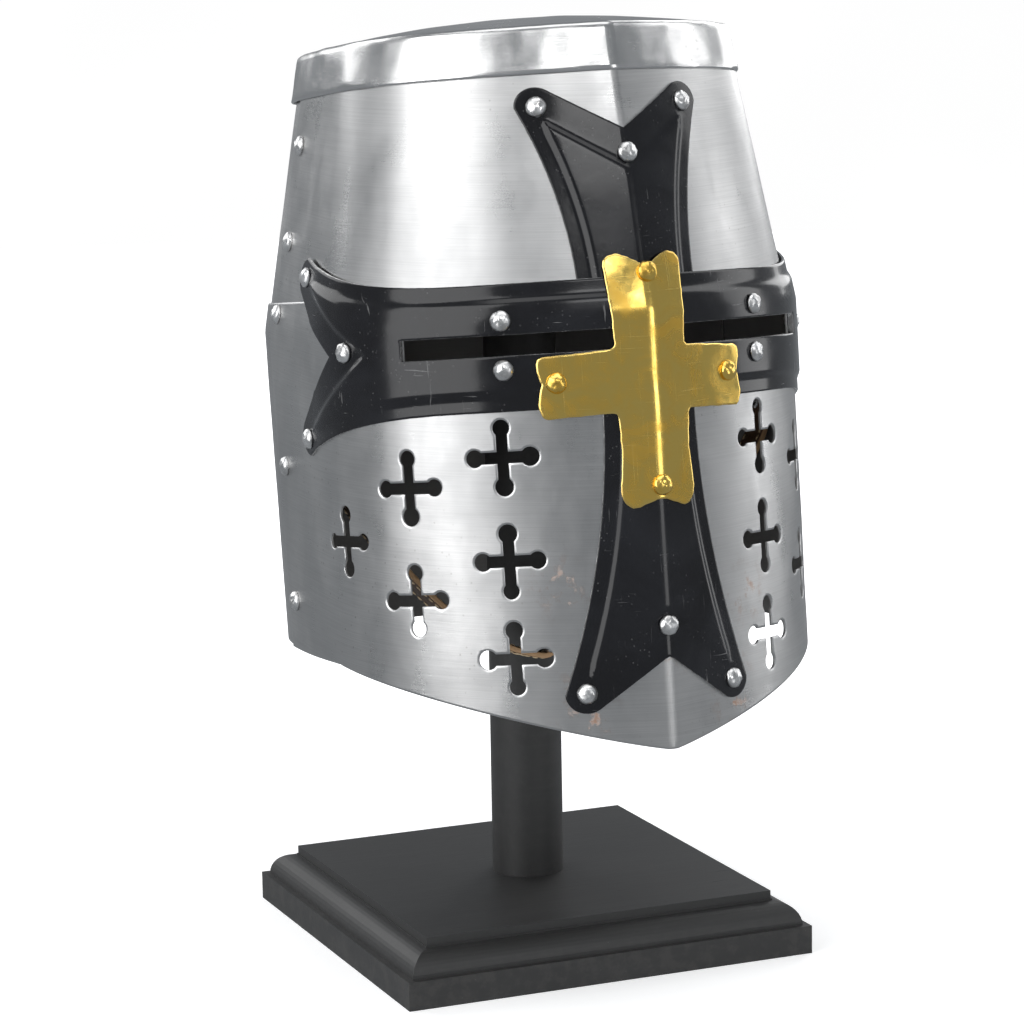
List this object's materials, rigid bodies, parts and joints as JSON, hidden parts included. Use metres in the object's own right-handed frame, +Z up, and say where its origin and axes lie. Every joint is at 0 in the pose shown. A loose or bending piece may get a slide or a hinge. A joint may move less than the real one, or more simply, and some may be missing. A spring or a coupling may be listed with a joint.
{
  "type": "knight helmet",
  "caption": "Great helm of riveted steel plates with a black and brass cross, eye slots, cross-shaped vents and leather liner, on a wooden display stand.",
  "frame": {"origin": "centre of the stand's underside, on the axis of the post", "axes": "+Z up along the post, -Y towards the helm's face, +X to the wearer's left"},
  "size_m": [0.2226, 0.2562, 0.4116],
  "materials": {
    "steel": "satin, finely brushed",
    "black_paint": "gloss black",
    "brass": "polished, scratched",
    "rivet": "hammered",
    "zinc": "dull zinc",
    "leather": "dark brown, edges raw",
    "stand_paint": "satin black paint over wood"
  },
  "bodies": {
    "stand": {"base_board": "stand_paint", "base_moulding": "stand_paint", "base_screw": "zinc", "post": "stand_paint", "head_block": "stand_paint", "head_screw": "zinc"},
    "helm": {"upper_back_plate": "steel", "upper_front_plate": "steel", "lower_back_plate": "steel", "lower_front_plate": "steel", "crown_cap": "steel", "cross_upper_arm": "black_paint", "cross_lower_arm": "black_paint", "cross_band": "black_paint", "brass_cross": "brass", "arm_rivets": "rivet", "brow_rivets": "rivet", "brass_rivets": "brass", "seam_rivets_left": "rivet", "seam_rivets_right": "rivet", "back_rivets": "rivet", "liner_band": "leather", "liner_flap_1": "leather", "liner_flap_2": "leather", "liner_flap_3": "leather", "liner_flap_4": "leather", "liner_flap_5": "leather", "liner_flap_6": "leather", "liner_flap_7": "leather", "liner_flap_8": "leather", "liner_lace": "leather", "strap_rivets": "rivet", "chin_strap_left": "leather", "chin_strap_right": "leather", "buckle_frame": "zinc"},
    "prong": {"buckle_prong": "zinc"}
  },
  "joints": [
    {"name": "helm_lift", "type": "slide", "parent": "stand", "child": "helm", "axis": [0, 0, 1], "range_m": [0, 0.32]},
    {"name": "prong_turn", "type": "hinge", "parent": "helm", "child": "prong", "pos_m": [0.009, -0.03846, 0.13705], "axis": [0, 0.9925, -0.1219], "range_deg": [0, 60]}
  ]
}
